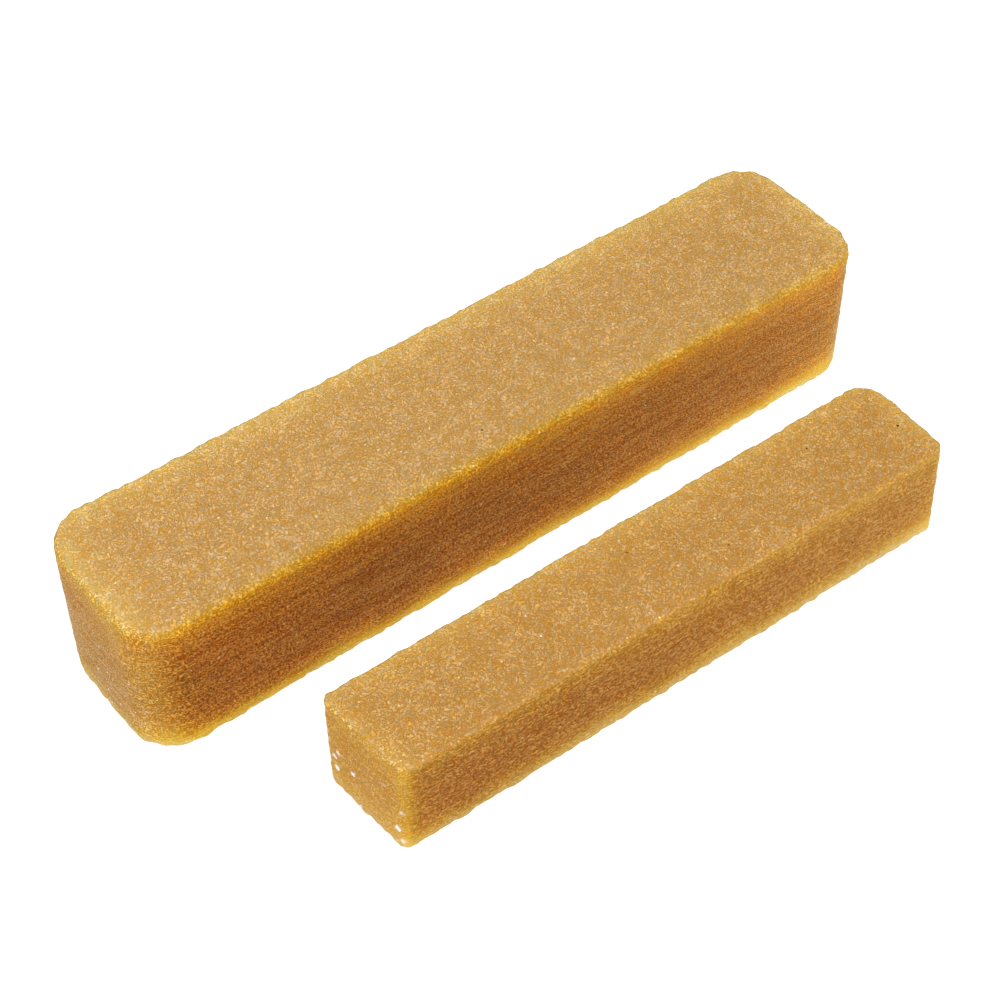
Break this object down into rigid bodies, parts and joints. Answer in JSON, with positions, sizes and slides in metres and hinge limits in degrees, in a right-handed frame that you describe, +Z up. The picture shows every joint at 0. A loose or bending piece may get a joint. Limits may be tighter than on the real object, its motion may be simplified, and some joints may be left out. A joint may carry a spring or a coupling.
{
  "type": "abrasive belt cleaning stick set",
  "caption": "Rectangular amber crepe-rubber sticks, a large and a small one, lying side by side, used to clean clogged sanding belts and discs.",
  "frame": {"origin": "under the middle of the pair's footprint, on the surface the sticks lie on", "axes": "+X along the large stick, +Y from the small stick towards the large one, +Z up"},
  "size_m": [0.2, 0.0942, 0.037],
  "materials": {
    "large_rubber": "translucent amber natural crepe rubber, finely wrinkled skin, satin",
    "small_rubber": "translucent amber natural crepe rubber, finely wrinkled skin, satin"
  },
  "bodies": {
    "large_stick": {"large_stick": "large_rubber"},
    "small_stick": {"small_stick": "small_rubber"}
  },
  "joints": [
    {"name": "small_stick_lift", "type": "slide", "parent": "large_stick", "child": "small_stick", "axis": [0, 0, 1], "range_m": [0, 0.08]}
  ]
}
